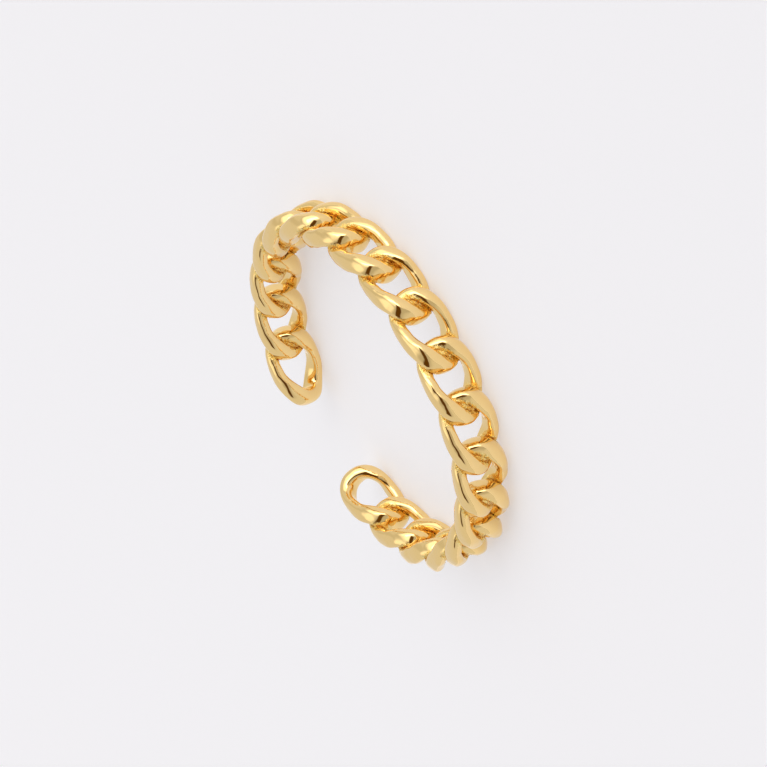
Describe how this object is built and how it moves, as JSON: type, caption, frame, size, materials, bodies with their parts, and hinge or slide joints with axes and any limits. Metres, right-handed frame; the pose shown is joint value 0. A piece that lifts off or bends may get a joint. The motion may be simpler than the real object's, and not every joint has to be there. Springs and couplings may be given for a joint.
{
  "type": "open chain link finger ring",
  "caption": "Open finger ring shaped as a curb chain: twisted oval links soldered into a stiff C-shaped band, with a gap between its end links.",
  "frame": {"origin": "centre of the finger opening, on the plane that the ring rests on when it lies on its side", "axes": "+Z along the finger, up through the hollow; -Y towards the middle link, the front; +Y towards the gap between the end links"},
  "size_m": [0.0204, 0.0199, 0.003],
  "materials": {
    "gold_plate": "high-polish yellow gold plating, rougher in the recesses"
  },
  "bodies": {
    "root": {"chain_band": "gold_plate"}
  },
  "joints": []
}
